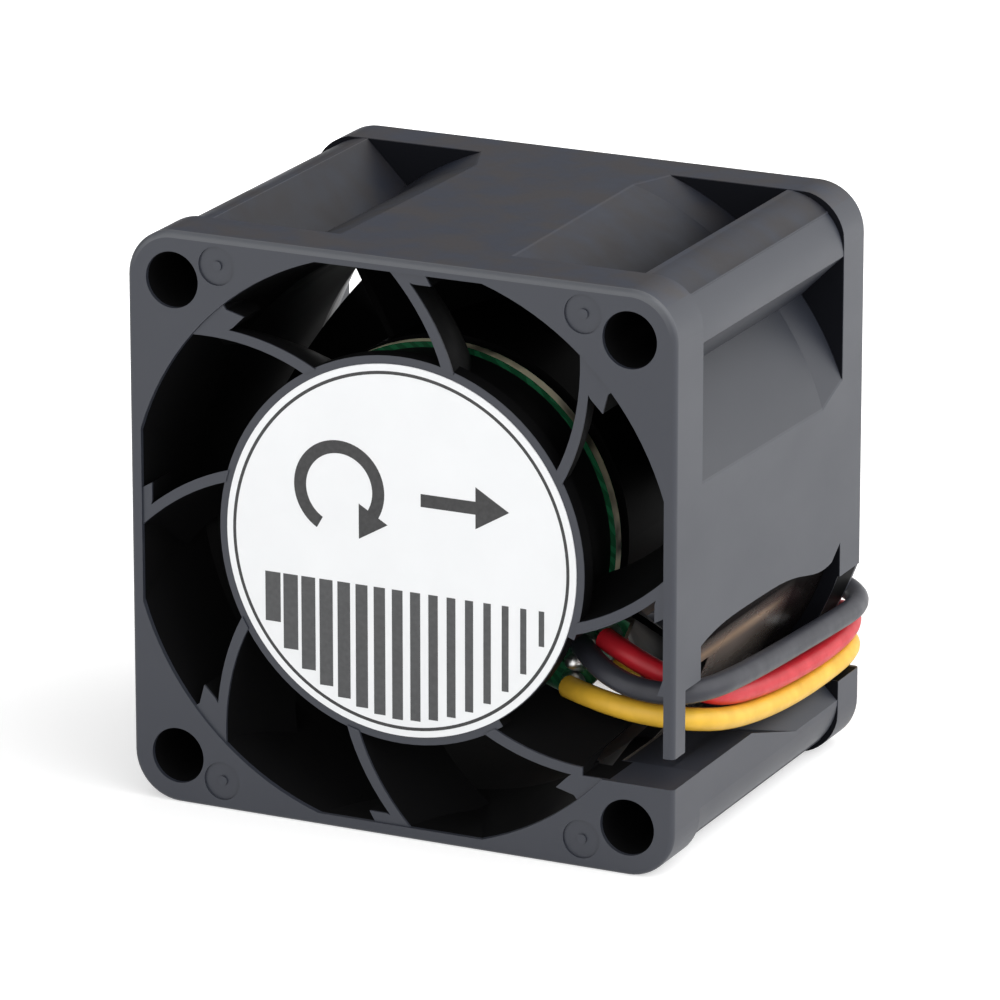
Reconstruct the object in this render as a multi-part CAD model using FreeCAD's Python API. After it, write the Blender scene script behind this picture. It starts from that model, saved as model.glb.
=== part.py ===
import FreeCAD
import Part
import math
import os

# Square cooling fan, as the separate pieces that it comes apart into.
# Millimetres, +Z up. The finished part stands on z = 0 with the origin under the middle of
# the fan. The fan's axis runs along Y: the label and the outlet vanes face -Y, the air
# inlet faces +Y, and the leads come out low on the +X side.
# Everything is modelled about the axis itself, and save() lifts it by half the fan's side.

V = FreeCAD.Vector

# How deep pieces are sunk into each other where they are fused, and a reach beyond everything
SINK = 0.3
BEYOND = 30.0

# Outside of the frame
SIDE = 36.0
DEPTH = 28.0
HALF = SIDE / 2
FRONT = -DEPTH / 2
REAR = DEPTH / 2
CORNER_RADIUS = 3.0
RIM_ROUND = 0.3
FRONT_FLANGE = 3.8
REAR_FLANGE = 3.3
FRONT_STEP = FRONT + FRONT_FLANGE
REAR_STEP = REAR - REAR_FLANGE

# Mounting holes, the hollow posts round them and the moulding seam along each post
HOLE_PITCH = 30.0
HOLE_RADIUS = 1.75
POST_INSET = 0.03
POST_ROUND = 3.75
POST_REACH = 4.0
SEAM_WIDTH = 0.12
SEAM_HEIGHT = 0.05

# Ejector marks beside the holes on the front face
MARK_X = 12.0
MARK_Z = 16.2
MARK_RADIUS = 1.2
MARK_DEPTH = 0.15
PIP_RADIUS = 0.3

# Barrel and air passage
BARREL_FRONT_RADIUS = 18.85
BARREL_REAR_RADIUS = 18.75
FLARE_START = 7.7
FLARE_RADIUS = 19.1
BORE_RADIUS = 17.1
OUTLET_RADIUS = 18.1
OUTLET_FLAT = 17.25
DIFFUSER_END = -6.5
INLET_RADIUS = 18.8
INLET_START = 7.5
INLET_BOW = 0.1

# Hub base in the outlet
BASE_RADIUS = 12.05
BASE_FRONT = FRONT + 0.25
BASE_THICKNESS = 1.2
BASE_BACK = BASE_FRONT + BASE_THICKNESS
SKIRT_RADIUS = 11.0
SKIRT_WALL = 1.0
BOSS_WALL = 0.8
LEAD_GAP = (-56.0, -19.0)
RIM_NOTCH_RADIUS = 11.6
LABEL_RADIUS = 11.55
LABEL_THICKNESS = 0.1

# Outlet vanes
VANE_COUNT = 8
VANE_ROOT_ANGLE = 30.0
VANE_ROOT_RADIUS = 12.1
VANE_TURN_PER_MM = 3.04
VANE_LEAN = 9.0
VANE_FRONT = FRONT + 0.15
VANE_BACK = -8.5
VANE_THICKNESS = 0.8
VANE_INNER = SKIRT_RADIUS - 0.4
VANE_OUTER = 18.5
VANE_FOOT_DEPTH = 2.4
VANE_FOOT = [(VANE_OUTER, -8.2), (17.75, -8.0), (16.75, -10.4), (16.65, -6.6), (16.8, -4.2),
             (VANE_OUTER, 1.0)]

# Circuit board on the skirt's rim
BOARD_FRONT = -7.8
BOARD_THICKNESS = 0.8
BOARD_BACK = BOARD_FRONT + BOARD_THICKNESS
BOARD_RADIUS = 11.35
BOARD_TAB_RADIUS = 13.1
BOARD_TAB = (-54.0, -20.0)

# Components on the board: radial, tangential and height, then radius and angles
CHIP_SIZE = (3.9, 4.9, 1.5)
CHIP_PLACE = (7.7, 90.0)
SENSOR_SIZE = (1.6, 2.8, 0.8)
SENSOR_PLACE = (9.5, 45.0)
CAPACITOR_SIZE = (2.6, 3.2, 1.8)
CAPACITOR_PLACE = (7.6, 190.0)
RESISTOR_SIZE = (0.8, 1.6, 0.5)
RESISTOR_CIRCLE = 7.6
RESISTOR_ANGLES = (140.0, 155.0, 230.0, 250.0, 20.0, 40.0)

# Bearing tube, bearings and shaft
TUBE_RADIUS = 4.4
TUBE_BACK = 5.2
SEAT_RADIUS = 3.5
SHOULDER_RADIUS = 3.0
BEARING_WIDTH = 3.0
FRONT_BEARING = -11.4
REAR_BEARING = 1.4
SHAFT_RADIUS = 1.5
SHAFT_FRONT = -12.2
GROOVE_WIDTH = 0.25
GROOVE_RADIUS = 1.2
RETAINER_RADIUS = 2.1
BALL_RADIUS = 0.5
BALL_COUNT = 7
BALL_CIRCLE = 2.5
RACE_RADIUS = 0.52
OUTER_RING_BORE = 2.85
INNER_RING_RADIUS = 2.12
SHIELD_BORE = 2.2
SHIELD_THICKNESS = 0.12
SHIELD_SETBACK = 0.14
CAGE_INNER = 2.3
CAGE_OUTER = 2.7
POCKET_RADIUS = 0.53
CAGE_FRONT = -0.1
CAGE_BACK = 0.75
SPRING_WALL = 0.25

# Motor
STACK_FRONT = -4.0
STACK_BACK = 3.6
CORE_RADIUS = 8.9
SHOE_THICKNESS = 1.0
CORE_RING = 5.6
NECK_WIDTH = 2.6
SLOT_WIDTH = 2.4
POLE_COUNT = 4
INSULATOR_THICKNESS = 0.6
COIL_INNER = 5.8
COIL_OUTER = 7.2
COIL_HALF_WIDTH = 2.9
COIL_OVERHANG = 0.9
MAGNET_BORE = 9.2
MAGNET_FRONT = -5.2
MAGNET_BACK = 4.6
YOKE_BORE = 10.1
YOKE_RADIUS = 10.7
YOKE_FRONT = -5.6
YOKE_BACK = 8.0
YOKE_PLATE = 0.7
BUSH_RADIUS = 3.0
BUSH_FRONT = 5.6

# Impeller
HUB_RADIUS = 11.4
HUB_FRONT = -6.0
HUB_BACK = 10.6
NOSE_ROUND = 1.0
HUB_GROOVE = (6.8, 8.2)
HUB_GROOVE_DEPTH = 0.5
BLADE_COUNT = 5
BLADE_ROOT = HUB_RADIUS - 0.35
BLADE_TIP = 16.8
BLADE_FRONT = -4.0
BLADE_BACK = 9.9
BLADE_WRAP = 44.0
BLADE_CAMBER = 0.25
BLADE_PHASE = 46.0
BLADE_EDGE = 0.22
BLADE_BELLY = 0.3

# Lead channel on the +X side, with its upper edge from front to rear, and the finger that
# keeps the leads in it
CHANNEL_RADIUS = 17.9
CHANNEL_EDGE = [(FRONT_STEP, -4.4), (-8.0, -4.0), (-5.0, -3.85), (-1.5, -3.9), (1.5, -4.0), (4.5, -4.4),
                (7.2, -4.95), (9.4, -4.9)]
CHANNEL_CUSP = -4.0
CHANNEL_LOW = -12.5
SILL_TOP = -12.25
SILL_INNER = 16.2
SILL_BACK = -2.5
SILL_FOOT = (5.5, -14.6)
EXIT_INNER = 12.0
EXIT_LOW = SILL_TOP
EXIT_HIGH = -6.5
EXIT_BACK = -6.0
FINGER_INNER = 17.3
FINGER_LOW = -10.35
FINGER_BACK = FRONT + 1.6
NOTCH_RADIUS = 18.9
NOTCH_X = 16.0
NOTCH_LOW = -13.0
NOTCH_HIGH = -6.2

# Leads, with their routes measured from the floor
LEAD_RADIUS = 0.7
LEAD_LENGTH = 300.0
LEADS = {
    "lead_yellow": [(8.6, -8.55, 9.2), (10.4, -9.6, 9.2), (13.2, -10.2, 8.95), (15.7, -10.1, 8.8),
                    (17.3, -8.6, 8.4), (17.7, -5.6, 7.6), (17.7, -1.0, 6.75), (17.65, 4.2, 6.15),
                    (17.5, 9.0, 5.9), (17.45, 13.6, 6.0), (16.4, 16.2, 6.05), (13.6, 17.0, 5.2),
                    (9.8, 17.3, 3.4), (5.6, 17.7, 1.7), (1.2, 18.0, 1.05), (-3.0, 18.05, 1.0)],
    "lead_red": [(11.0, -8.55, 12.6), (12.2, -9.1, 12.3), (14.0, -9.2, 11.5), (15.9, -8.9, 10.7),
                 (17.1, -7.4, 9.75), (17.3, -4.6, 8.9), (17.35, 0.4, 8.1), (17.35, 5.6, 7.65),
                 (17.3, 10.0, 7.35), (17.25, 14.0, 7.4), (16.2, 16.9, 7.5), (13.4, 18.2, 6.8),
                 (9.9, 18.6, 4.9), (6.0, 18.5, 3.0), (1.5, 18.15, 2.5), (-3.0, 18.05, 2.45)],
    "lead_black": [(9.4, -8.55, 12.0), (10.6, -9.8, 11.8), (12.2, -10.7, 11.15), (14.2, -11.0, 10.6),
                   (16.5, -10.6, 10.45), (18.0, -8.9, 10.55), (18.4, -5.8, 10.4), (18.4, -1.2, 10.05),
                   (18.4, 4.2, 9.75), (18.4, 9.0, 9.5), (18.2, 13.0, 9.2), (17.2, 15.6, 9.1),
                   (15.0, 17.3, 9.2), (11.8, 18.6, 8.3), (8.2, 19.1, 6.2), (4.6, 18.9, 4.5),
                   (0.9, 18.35, 3.95), (-3.0, 18.05, 3.9)],
}
EXTRA_JOINT = (8.8, -8.55, 10.75)
JOINT_RADIUS = 0.72
JOINT_HEIGHT = 1.0

# Coil of the leads' put-away length, on the floor behind the fan
COIL_CENTRE = (-3.0, 29.7)
COIL_TURN_OUTER = 11.65
COIL_TURN_INNER = 4.9
COIL_LAYERS = 3
COIL_LAYER_STEP = 1.45
COIL_BOTTOM = 0.3
TIE_WIDTH = 2.4
TIE_THICKNESS = 0.3
TIE_SLACK = 0.3
TIE_ROUND = 0.55
TIP_RADIUS = 0.4
TIP_LENGTH = 4.0


def save(name, shape):
    """Write one piece to its own file, lifted so that the fan stands on the floor."""
    placed = shape.copy()
    placed.translate(V(0, 0, HALF))
    placed.exportStep("parts/%s.step" % name)
    print("%-26s solids %d valid %s volume %.3f"
          % (name, len(placed.Solids), placed.isValid(), placed.Volume))


def at_angle(radius, degrees, y):
    """Point at a radius and an angle about the fan axis, counted from +X towards +Z."""
    turn = math.radians(degrees)
    return V(radius * math.cos(turn), y, radius * math.sin(turn))


def turned_copy(shape, degrees):
    """Copy of a shape turned about the fan axis, from +X towards +Z."""
    copy = shape.copy()
    copy.rotate(V(0, 0, 0), V(0, -1, 0), degrees)
    return copy


def ring_of(shape, count, first=0.0):
    """Copies of a shape spaced evenly about the fan axis."""
    return [turned_copy(shape, first + 360.0 * k / count) for k in range(count)]


def disc(radius, low, high):
    return Part.makeCylinder(radius, high - low, V(0, low, 0), V(0, 1, 0))


def ring(inner, outer, low, high):
    return disc(outer, low, high).cut(disc(inner, low - 1, high + 1))


def block(x, y, z):
    """Box between two limits on each axis."""
    return Part.makeBox(x[1] - x[0], y[1] - y[0], z[1] - z[0], V(x[0], y[0], z[0]))


def revolved(start, steps):
    """Solid turned about the fan axis from an outline of (radius, y) points.
    A step that is a pair of points is an arc through the first one to the second."""
    edges = []
    here = V(start[0], start[1], 0)
    for step in list(steps) + [start]:
        if isinstance(step[0], tuple):
            middle = V(step[0][0], step[0][1], 0)
            there = V(step[1][0], step[1][1], 0)
            edges.append(Part.Arc(here, middle, there).toShape())
        else:
            there = V(step[0], step[1], 0)
            edges.append(Part.LineSegment(here, there).toShape())
        here = there
    return Part.Face(Part.Wire(edges)).revolve(V(0, 0, 0), V(0, 1, 0), 360)


def wedge(angles, low, high, radius=BEYOND):
    """Prism of a sector about the fan axis, between two angles under 180 degrees apart."""
    corners = [V(0, low, 0)]
    corners += [at_angle(radius, angle, low) for angle in (angles[0], sum(angles) / 2, angles[1])]
    face = Part.Face(Part.makePolygon(corners + corners[:1]))
    return face.extrude(V(0, high - low, 0))


def blade_solid(radii, stations, angle_at, half_at):
    """Curved blade whose middle runs at angle_at(radius, y), half_at(radius, y) thick each way."""
    surfaces = []
    for sign in (1, -1):
        grid = []
        for r in radii:
            row = []
            for y in stations:
                spread = math.degrees(half_at(r, y) / r)
                row.append(at_angle(r, angle_at(r, y) + sign * spread, y))
            grid.append(row)
        surface = Part.BSplineSurface()
        surface.interpolate(grid)
        surfaces.append(surface)
    faces = [surface.toShape() for surface in surfaces]
    u0, u1, v0, v1 = surfaces[0].bounds()
    for cut in (u0, u1):
        pair = [surface.uIso(cut).toShape() for surface in surfaces]
        faces.append(Part.makeRuledSurface(pair[0], pair[1]))
    for cut in (v0, v1):
        pair = [surface.vIso(cut).toShape() for surface in surfaces]
        faces.append(Part.makeRuledSurface(pair[0], pair[1]))
    shell = Part.Shell(faces)
    shell.sewShape()
    solid = Part.Solid(shell)
    if solid.Volume < 0:
        solid.reverse()
    return solid


def spaced(low, high, count):
    return [low + (high - low) * k / (count - 1) for k in range(count)]


def hole_centres():
    reach = HOLE_PITCH / 2
    return [(x, z) for x in (-reach, reach) for z in (-reach, reach)]


def flange(low, high, outside):
    """Square plate with rounded corners and a softened rim round its outside face."""
    plate = block((-HALF, HALF), (low, high), (-HALF, HALF))
    corners = [e for e in plate.Edges if abs(e.Vertexes[0].Y - e.Vertexes[1].Y) > 1e-6]
    plate = plate.makeFillet(CORNER_RADIUS, corners)
    rim = [e for e in plate.Edges if all(abs(v.Y - outside) < 1e-6 for v in e.Vertexes)]
    return plate.makeFillet(RIM_ROUND, rim)


def corner_post():
    """Post of the +X +Z corner: rounded outside, with flat sides that run in to the barrel.
    The seam where two slides of the mould met runs along its middle."""
    outer = HALF - POST_INSET
    start = outer - POST_ROUND
    bend = start + POST_ROUND * math.sqrt(0.5)
    low, high = FRONT_STEP - SINK, REAR_STEP + SINK
    top, side = V(start, low, outer), V(outer, low, start)
    inward = V(-POST_REACH, 0, -POST_REACH)
    edges = [Part.Arc(top, V(bend, low, bend), side).toShape()]
    for a, b in ((side, side + inward), (side + inward, top + inward), (top + inward, top)):
        edges.append(Part.LineSegment(a, b).toShape())
    post = Part.Face(Part.Wire(edges)).extrude(V(0, high - low, 0))
    ridge = bend * math.sqrt(2)
    seam = block((ridge - SINK, ridge + SEAM_HEIGHT), (low, high), (-SEAM_WIDTH / 2, SEAM_WIDTH / 2))
    return post.fuse(turned_copy(seam, 45.0))


def frame_shell():
    """Flanges, barrel and posts, before any opening is cut."""
    front = flange(FRONT, FRONT_STEP, FRONT)
    rear = flange(REAR_STEP, REAR, REAR)
    barrel = revolved((0, FRONT_STEP), [
        (BARREL_FRONT_RADIUS, FRONT_STEP), (BARREL_REAR_RADIUS, FLARE_START),
        (FLARE_RADIUS, REAR_STEP), (0, REAR_STEP)])
    barrel = barrel.common(block((-HALF, HALF), (FRONT, REAR), (-HALF, HALF)))
    return front.fuse([rear, barrel] + ring_of(corner_post(), 4))


def air_passage():
    """Space that the air flows through: outlet cone, bore and flared inlet."""
    inlet_mid = ((INLET_RADIUS + BORE_RADIUS) / 2 - INLET_BOW, (INLET_START + REAR) / 2)
    passage = revolved((0, FRONT - 1), [
        (OUTLET_RADIUS, FRONT - 1), (OUTLET_RADIUS, FRONT), (BORE_RADIUS, DIFFUSER_END),
        (BORE_RADIUS, INLET_START), (inlet_mid, (INLET_RADIUS, REAR)),
        (INLET_RADIUS, REAR + 1), (0, REAR + 1)])
    flats = (-OUTLET_FLAT, OUTLET_FLAT)
    return passage.common(block(flats, (FRONT - 2, REAR + 2), flats))


def ejector_mark(x, z):
    """Shallow round recess with a pip in its middle."""
    low = FRONT - 1
    recess = Part.makeCylinder(MARK_RADIUS, 1 + MARK_DEPTH, V(x, low, z), V(0, 1, 0))
    pip = Part.makeCylinder(PIP_RADIUS, 2, V(x, FRONT + 0.03, z), V(0, 1, 0))
    return recess.cut(pip)


def hub_base():
    """Disc that carries the label, its skirt to the board and the boss of the bearing tube."""
    plate = disc(BASE_RADIUS, BASE_FRONT, BASE_BACK)
    notch = ring(RIM_NOTCH_RADIUS, BASE_RADIUS + 1, BASE_FRONT - 1, BASE_BACK + 1)
    plate = plate.cut(notch.common(wedge(LEAD_GAP, BASE_FRONT - 1, BASE_BACK + 1)))
    skirt = ring(SKIRT_RADIUS - SKIRT_WALL, SKIRT_RADIUS, BASE_BACK - SINK, BOARD_FRONT)
    skirt = skirt.cut(wedge(LEAD_GAP, BASE_BACK, BOARD_FRONT + 1))
    boss = ring(TUBE_RADIUS, TUBE_RADIUS + BOSS_WALL, BASE_BACK - SINK, BOARD_FRONT - 0.2)
    boss = boss.cut(disc(TUBE_RADIUS, BASE_BACK, 0))
    return plate.fuse([skirt, boss])


def vane_angle(r, y):
    """The vane curls round towards its tip and leans with the swirl of the air."""
    back = (y - VANE_FRONT) / (VANE_BACK - VANE_FRONT)
    return VANE_ROOT_ANGLE + VANE_TURN_PER_MM * (r - VANE_ROOT_RADIUS) + VANE_LEAN * back ** 1.6


def outlet_vane():
    """One vane and the small notched foot at its tip."""
    vane = blade_solid(spaced(VANE_INNER, VANE_OUTER, 5), spaced(VANE_FRONT, VANE_BACK, 4),
                       vane_angle, lambda r, y: VANE_THICKNESS / 2)
    vane = vane.cut(disc(BASE_RADIUS - 0.1, FRONT - 1, BASE_FRONT + 0.4))
    tip = vane_angle(OUTLET_RADIUS, VANE_FRONT)
    outline = [at_angle(r, tip + turn, VANE_FRONT) for r, turn in VANE_FOOT]
    foot = Part.Face(Part.makePolygon(outline + outline[:1])).extrude(V(0, VANE_FOOT_DEPTH, 0))
    return vane.fuse(foot)


def channel_outline():
    """Side view of the lead channel: its upper edge curves down and ends in a cusp at the rear."""
    edge = Part.BSplineCurve()
    edge.interpolate([V(0, y, z) for y, z in CHANNEL_EDGE])
    corners = [V(0, *CHANNEL_EDGE[-1]), V(0, REAR_STEP, CHANNEL_CUSP), V(0, REAR_STEP, CHANNEL_LOW),
               V(0, FRONT_STEP, CHANNEL_LOW), V(0, *CHANNEL_EDGE[0])]
    lines = [Part.LineSegment(a, b).toShape() for a, b in zip(corners, corners[1:])]
    return Part.Face(Part.Wire([edge.toShape()] + lines))


def channel_sill():
    """Raised outer edge of the channel's floor, which runs down to the post behind."""
    front = FRONT_STEP - SINK
    corners = [(front, SILL_FOOT[1]), (front, SILL_TOP), (SILL_BACK, SILL_TOP), SILL_FOOT]
    outline = [V(SILL_INNER, y, z) for y, z in corners]
    face = Part.Face(Part.makePolygon(outline + outline[:1]))
    return face.extrude(V(HALF - POST_INSET - SILL_INNER, 0, 0))


def lead_exit():
    """What is cut away low on the +X side for the leads, leaving the finger."""
    outward = (EXIT_INNER, HALF + 1)
    wall = ring(BORE_RADIUS - 0.5, BEYOND, FRONT - 1, EXIT_BACK)
    wall = wall.common(block(outward, (FRONT - 1, EXIT_BACK), (EXIT_LOW, EXIT_HIGH)))
    finger = block((FINGER_INNER, HALF + 1), (FRONT - 1, FINGER_BACK), (FINGER_LOW, 0))
    channel = ring(CHANNEL_RADIUS, BEYOND, FRONT_STEP, REAR_STEP)
    side_view = channel_outline()
    side_view.translate(V(outward[0], 0, 0))
    channel = channel.common(side_view.extrude(V(outward[1] - outward[0], 0, 0)))
    notch = ring(NOTCH_RADIUS, BEYOND, REAR_STEP - 0.5, REAR + 1)
    notch = notch.common(block((NOTCH_X, HALF + 1), (REAR_STEP - 0.5, REAR + 1), (NOTCH_LOW, NOTCH_HIGH)))
    return [wall.cut(finger), channel, notch]


def make_frame():
    body = frame_shell().cut(air_passage())
    inside = block((-HALF + 0.1, HALF - 0.1), (FRONT, REAR), (-HALF + 0.1, HALF - 0.1))
    vanes = [vane.common(inside) for vane in ring_of(outlet_vane(), VANE_COUNT)]
    body = body.fuse([hub_base()] + vanes).cut(lead_exit()).fuse(channel_sill())
    cuts = []
    for x, z in hole_centres():
        cuts.append(Part.makeCylinder(HOLE_RADIUS, DEPTH + 2, V(x, FRONT - 1, z), V(0, 1, 0)))
    for x in (-MARK_X, MARK_X):
        for z in (-MARK_Z, MARK_Z):
            cuts.append(ejector_mark(x, z))
    return body.cut(cuts).removeSplitter()


def make_bearing(name, front):
    """Shielded ball bearing whose front face is at y = front."""
    back = front + BEARING_WIDTH
    middle = front + BEARING_WIDTH / 2
    race = Part.makeTorus(BALL_CIRCLE, RACE_RADIUS, V(0, middle, 0), V(0, 1, 0))
    save(name + "_outer_ring", ring(OUTER_RING_BORE, SEAT_RADIUS, front, back).cut(race))
    save(name + "_inner_ring", ring(SHAFT_RADIUS, INNER_RING_RADIUS, front, back).cut(race))
    near = front + SHIELD_SETBACK
    far = back - SHIELD_SETBACK - SHIELD_THICKNESS
    shields = [ring(SHIELD_BORE, OUTER_RING_BORE, y, y + SHIELD_THICKNESS) for y in (near, far)]
    save(name + "_shields", Part.makeCompound(shields))
    seat = V(BALL_CIRCLE, middle, 0)
    save(name + "_balls", Part.makeCompound(ring_of(Part.makeSphere(BALL_RADIUS, seat), BALL_COUNT)))
    cage = ring(CAGE_INNER, CAGE_OUTER, middle + CAGE_FRONT, middle + CAGE_BACK)
    pocket = Part.makeCylinder(POCKET_RADIUS, CAGE_OUTER, V(0, middle, 0), V(1, 0, 0))
    save(name + "_cage", cage.cut(ring_of(pocket, BALL_COUNT)))


def make_bearing_tube():
    front_seat = FRONT_BEARING + BEARING_WIDTH
    return revolved((SEAT_RADIUS, BASE_BACK), [
        (TUBE_RADIUS, BASE_BACK), (TUBE_RADIUS, TUBE_BACK), (SEAT_RADIUS, TUBE_BACK),
        (SEAT_RADIUS, REAR_BEARING), (SHOULDER_RADIUS, REAR_BEARING),
        (SHOULDER_RADIUS, front_seat), (SEAT_RADIUS, front_seat)])


def make_shaft():
    groove = FRONT_BEARING - GROOVE_WIDTH
    tip = 0.2
    return revolved((0, SHAFT_FRONT), [
        (SHAFT_RADIUS - tip, SHAFT_FRONT), (SHAFT_RADIUS, SHAFT_FRONT + tip), (SHAFT_RADIUS, groove),
        (GROOVE_RADIUS, groove), (GROOVE_RADIUS, FRONT_BEARING), (SHAFT_RADIUS, FRONT_BEARING),
        (SHAFT_RADIUS, YOKE_BACK), (0, YOKE_BACK)])


def make_retaining_ring():
    clip = ring(GROOVE_RADIUS, RETAINER_RADIUS, FRONT_BEARING - GROOVE_WIDTH, FRONT_BEARING)
    return clip.cut(block((0, 5), (SHAFT_FRONT, 0), (-0.9, 0.9)))


def make_preload_spring():
    """Cone spring washer between the rear bearing's inner ring and the rotor bush."""
    near = REAR_BEARING + BEARING_WIDTH
    return revolved((SHAFT_RADIUS + 0.05, near), [
        (SHAFT_RADIUS + 0.35, near), (BUSH_RADIUS - 0.2, BUSH_FRONT - SPRING_WALL),
        (BUSH_RADIUS - 0.2, BUSH_FRONT), (BUSH_RADIUS - 0.5, BUSH_FRONT)])


def pole_plate(low, high):
    """Ring, necks and shoes of the stator's poles, as one flat shape."""
    length = high - low
    neck = block((CORE_RING - 0.4, CORE_RADIUS - 0.5), (low, high), (-NECK_WIDTH / 2, NECK_WIDTH / 2))
    shoes = ring(CORE_RADIUS - SHOE_THICKNESS, CORE_RADIUS, low, high)
    slot = block((CORE_RING, CORE_RADIUS + 1), (low - 1, low + length + 1), (-SLOT_WIDTH / 2, SLOT_WIDTH / 2))
    shoes = shoes.cut(ring_of(slot, POLE_COUNT, 180.0 / POLE_COUNT))
    return ring(TUBE_RADIUS, CORE_RING, low, high).fuse([shoes] + ring_of(neck, POLE_COUNT)).removeSplitter()


def make_stator_coils():
    """One winding round the neck of each pole."""
    low, high = STACK_FRONT - INSULATOR_THICKNESS, STACK_BACK + INSULATOR_THICKNESS
    outer = block((COIL_INNER, COIL_OUTER), (low - COIL_OVERHANG, high + COIL_OVERHANG),
                  (-COIL_HALF_WIDTH, COIL_HALF_WIDTH))
    corners = [e for e in outer.Edges if abs(e.Vertexes[0].X - e.Vertexes[1].X) > 1e-6]
    outer = outer.makeFillet(COIL_OVERHANG, corners)
    window = block((0, CORE_RADIUS), (low, high), (-NECK_WIDTH / 2 - 0.05, NECK_WIDTH / 2 + 0.05))
    return Part.makeCompound(ring_of(outer.cut(window), POLE_COUNT))


def make_rotor_yoke():
    cup = ring(YOKE_BORE, YOKE_RADIUS, YOKE_FRONT, YOKE_BACK)
    return cup.fuse(ring(BUSH_RADIUS, YOKE_RADIUS, YOKE_BACK - YOKE_PLATE, YOKE_BACK)).removeSplitter()


def blade_angle(r, y):
    """The blade trails back round the axis from its outlet edge, more steeply towards the inlet."""
    back = (y - BLADE_FRONT) / (BLADE_BACK - BLADE_FRONT)
    return BLADE_PHASE - BLADE_WRAP * ((1 - BLADE_CAMBER) * back + BLADE_CAMBER * back ** 2)


def blade_half(r, y):
    back = (y - BLADE_FRONT) / (BLADE_BACK - BLADE_FRONT)
    return BLADE_EDGE + BLADE_BELLY * math.sin(math.pi * back) ** 0.8


def make_impeller():
    bend = math.sqrt(0.5)
    nose = (HUB_RADIUS - NOSE_ROUND * (1 - bend), HUB_BACK - NOSE_ROUND * (1 - bend))
    groove_floor = HUB_BACK - HUB_GROOVE_DEPTH
    draft = 0.2
    cup = revolved((YOKE_RADIUS, HUB_FRONT), [
        (HUB_RADIUS, HUB_FRONT), (HUB_RADIUS, HUB_BACK - NOSE_ROUND),
        (nose, (HUB_RADIUS - NOSE_ROUND, HUB_BACK)),
        (HUB_GROOVE[1], HUB_BACK), (HUB_GROOVE[1] - draft, groove_floor),
        (HUB_GROOVE[0] + draft, groove_floor), (HUB_GROOVE[0], HUB_BACK),
        (0, HUB_BACK), (0, YOKE_BACK), (YOKE_RADIUS, YOKE_BACK)])
    radii = spaced(BLADE_ROOT, BLADE_TIP, 5)
    blade = blade_solid(radii, spaced(BLADE_FRONT, BLADE_BACK, 7), blade_angle, blade_half)
    return cup.fuse(ring_of(blade, BLADE_COUNT)).removeSplitter()


def make_circuit_board():
    board = ring(TUBE_RADIUS + BOSS_WALL + 0.1, BOARD_RADIUS, BOARD_FRONT, BOARD_BACK)
    tab = ring(BOARD_RADIUS - 1, BOARD_TAB_RADIUS, BOARD_FRONT, BOARD_BACK)
    return board.fuse(tab.common(wedge(BOARD_TAB, BOARD_FRONT, BOARD_BACK))).removeSplitter()


def on_board(size, radius, degrees, behind=False):
    """Component of (radial, tangential, height) size standing on the board."""
    deep, wide, tall = size
    low = BOARD_BACK if behind else BOARD_FRONT - tall
    box = block((radius - deep / 2, radius + deep / 2), (low, low + tall), (-wide / 2, wide / 2))
    return turned_copy(box, degrees)


def from_floor(point):
    """Point of a lead's route, moved into the frame of the fan axis."""
    return V(point[0], point[1], point[2] - HALF)


def solder_joint(point):
    """Dome of solder on the board round a lead's end."""
    dome = Part.makeCone(JOINT_RADIUS, 0.35, JOINT_HEIGHT, V(0, 0, 0), V(0, -1, 0))
    dome.translate(V(point[0], BOARD_FRONT, point[2] - HALF))
    return dome


def lead_path(points):
    """Straight runs joined by tangent arcs, each as large as its two runs allow."""
    corners = [from_floor(p) for p in points]
    edges = []
    radii = []
    here = corners[0]
    for before, corner, after in zip(corners, corners[1:], corners[2:]):
        back = (before - corner).normalize()
        ahead = (after - corner).normalize()
        turn = math.pi - back.getAngle(ahead)
        reach = 0.45 * min(before.distanceToPoint(corner), corner.distanceToPoint(after))
        radius = reach / math.tan(turn / 2)
        radii.append(radius)
        enter = corner + back * reach
        leave = corner + ahead * reach
        inward = (back + ahead).normalize()
        middle = corner + inward * (radius / math.cos(turn / 2) - radius)
        edges.append(Part.LineSegment(here, enter).toShape())
        edges.append(Part.Arc(enter, middle, leave).toShape())
        here = leave
    edges.append(Part.LineSegment(here, corners[-1]).toShape())
    return Part.Wire(edges), radii


def make_lead(name, points):
    path, radii = lead_path(points)
    start = from_floor(points[0])
    along = (from_floor(points[1]) - start).normalize()
    section = Part.Wire(Part.makeCircle(LEAD_RADIUS, start, along))
    tube = path.makePipeShell([section], True, False)
    expected = math.pi * LEAD_RADIUS ** 2 * path.Length
    print("%s length %.1f smallest radii %s volume ratio %.4f"
          % (name, path.Length, ["%.1f" % r for r in sorted(radii)[:4]], tube.Volume / expected))
    return tube, path.Length


def make_lead_coil():
    """Outer shape of the coil that the three leads are wound into, one above another."""
    top = COIL_BOTTOM + 2 * LEAD_RADIUS + (COIL_LAYERS - 1) * COIL_LAYER_STEP
    outer = COIL_TURN_OUTER + LEAD_RADIUS
    inner = COIL_TURN_INNER - LEAD_RADIUS
    place = V(COIL_CENTRE[0], COIL_CENTRE[1], COIL_BOTTOM - HALF)
    height = top - COIL_BOTTOM
    return Part.makeCylinder(outer, height, place).cut(Part.makeCylinder(inner, height, place))


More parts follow.
